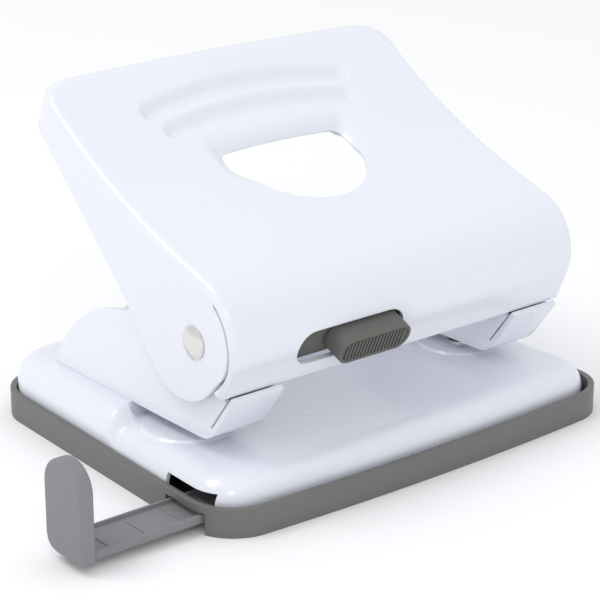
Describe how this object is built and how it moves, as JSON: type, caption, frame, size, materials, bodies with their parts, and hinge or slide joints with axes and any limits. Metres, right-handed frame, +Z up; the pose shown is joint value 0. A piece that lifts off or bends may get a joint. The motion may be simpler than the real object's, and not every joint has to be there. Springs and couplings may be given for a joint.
{
  "type": "two-hole punch",
  "caption": "Desk hole punch: pressed-steel lever over sprung punch pins on a rounded base, with a lock slide, a pull-out paper guide and a chip tray.",
  "frame": {"origin": "centre of the tray's underside, on the surface that the punch stands on", "axes": "+X to the right, +Y to the back, +Z up; paper enters from the front, at -Y"},
  "size_m": [0.144, 0.0958, 0.0802],
  "materials": {
    "white_paint": "glossy white stove enamel on pressed sheet steel",
    "tray_plastic": "soft warm-grey moulded plastic",
    "guide_plastic": "grey moulded plastic with a fine grain",
    "lock_plastic": "dark grey moulded plastic, ribbed grip",
    "bright_steel": "bright nickel-plated steel"
  },
  "bodies": {
    "base": {"chip_tray": "tray_plastic", "base_pan": "white_paint", "left_bracket": "white_paint", "right_bracket": "white_paint", "bracket_rivets": "bright_steel", "left_die_plate": "bright_steel", "right_die_plate": "bright_steel", "left_pin_guide": "bright_steel", "right_pin_guide": "bright_steel", "guide_channel": "bright_steel", "left_pivot_rivet": "bright_steel", "right_pivot_rivet": "bright_steel", "left_return_spring": "bright_steel", "right_return_spring": "bright_steel"},
    "handle": {"handle": "white_paint", "left_presser": "bright_steel", "right_presser": "bright_steel"},
    "left_pin": {"left_punch_pin": "bright_steel", "left_pin_clip": "bright_steel"},
    "right_pin": {"right_punch_pin": "bright_steel", "right_pin_clip": "bright_steel"},
    "lock": {"lock_button": "lock_plastic", "lock_plate": "lock_plastic"},
    "guide": {"paper_guide": "guide_plastic"}
  },
  "joints": [
    {"name": "handle_press", "type": "hinge", "parent": "base", "child": "handle", "pos_m": [0, -0.02656, 0.0367], "axis": [-1, 0, 0], "range_deg": [0, 27], "stiffness_Nm_per_rad": 0.6, "springref_deg": -20.05},
    {"name": "left_pin_slide", "type": "slide", "parent": "base", "child": "left_pin", "axis": [0, 0, -1], "range_m": [0, 0.00685], "deforming": ["left_return_spring"]},
    {"name": "right_pin_slide", "type": "slide", "parent": "base", "child": "right_pin", "axis": [0, 0, -1], "range_m": [0, 0.00685], "deforming": ["right_return_spring"]},
    {"name": "lock_slide", "type": "slide", "parent": "handle", "child": "lock", "axis": [-1, 0, 0], "range_m": [0, 0.007]},
    {"name": "guide_slide", "type": "slide", "parent": "base", "child": "guide", "axis": [-1, 0, 0], "range_m": [-0.024, 0.033]}
  ],
  "couplings": [
    {"joint": "left_pin_slide", "follows": "handle_press", "m_per_rad": 0.01443},
    {"joint": "right_pin_slide", "follows": "handle_press", "m_per_rad": 0.01443}
  ]
}
